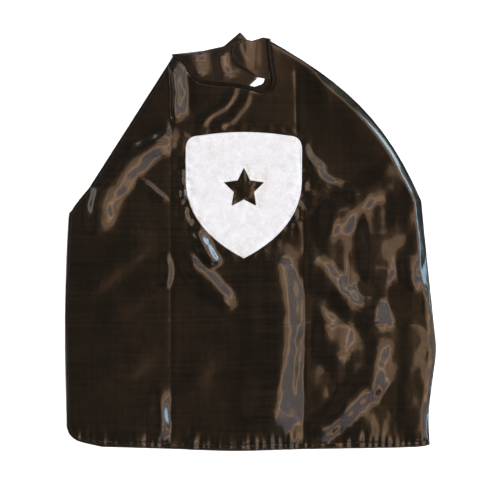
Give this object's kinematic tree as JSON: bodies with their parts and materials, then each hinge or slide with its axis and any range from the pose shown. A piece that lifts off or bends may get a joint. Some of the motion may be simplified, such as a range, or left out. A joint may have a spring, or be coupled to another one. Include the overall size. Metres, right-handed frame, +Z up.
{
  "type": "superhero cape",
  "caption": "Child's dark satin cape laid flat, with a white felt shield emblem on its back and two neck straps closed by hook and loop tape.",
  "frame": {"origin": "middle of the surface that the cape lies on, under the centre of its box", "axes": "+Z up out of the emblem side, +Y from the hem to the neck, +X to the right with the emblem seen the right way up"},
  "size_m": [0.7048, 0.796, 0.0081],
  "materials": {
    "outer_satin": "near-black warm brown satin, glossy face out",
    "lining_satin": "near-black satin lining",
    "felt": "off-white craft felt",
    "light_thread": "off-white sewing thread",
    "dark_thread": "black sewing thread",
    "loop_tape": "black loop tape, fuzzy",
    "hook_tape": "black nylon hook tape"
  },
  "bodies": {
    "centre_panel": {"outer_satin_centre": "outer_satin", "lining_centre": "lining_satin", "hem_centre": "outer_satin", "hem_stitching_centre": "dark_thread", "neck_stitching": "dark_thread", "neck_edge_roll": "outer_satin", "emblem_felt": "felt", "emblem_edge_stitching": "light_thread", "star_stitching": "light_thread"},
    "left_panel": {"outer_satin_left": "outer_satin", "lining_left": "lining_satin", "hem_left": "outer_satin", "edge_stitching_left": "dark_thread"},
    "right_panel": {"outer_satin_right": "outer_satin", "lining_right": "lining_satin", "hem_right": "outer_satin", "edge_stitching_right": "dark_thread"},
    "left_strap": {"strap_satin_left": "outer_satin", "strap_lining_left": "lining_satin", "loop_patch": "loop_tape", "loop_patch_stitching": "dark_thread"},
    "right_strap": {"strap_satin_right": "outer_satin", "strap_lining_right": "lining_satin", "hook_patch": "hook_tape", "hook_patch_stitching": "dark_thread"}
  },
  "joints": [
    {"name": "left_panel_fold", "type": "hinge", "parent": "centre_panel", "child": "left_panel", "pos_m": [-0.1513, 0, 0.007], "axis": [0, 1, 0], "range_deg": [0, 178]},
    {"name": "right_panel_fold", "type": "hinge", "parent": "centre_panel", "child": "right_panel", "pos_m": [0.0997, 0, 0.011], "axis": [0, -1, 0], "range_deg": [0, 172]},
    {"name": "right_strap_peel", "type": "hinge", "parent": "centre_panel", "child": "right_strap", "pos_m": [0.03, 0.346, 0.0081], "axis": [0, 1, 0], "range_deg": [0, 95]},
    {"name": "left_strap_lift", "type": "hinge", "parent": "centre_panel", "child": "left_strap", "pos_m": [-0.119, 0.338, 0.0023], "axis": [0.6283, -0.778, 0], "range_deg": [0, 20]}
  ],
  "couplings": [
    {"joint": "left_strap_lift", "follows": "right_strap_peel", "ratio": 0.2}
  ]
}
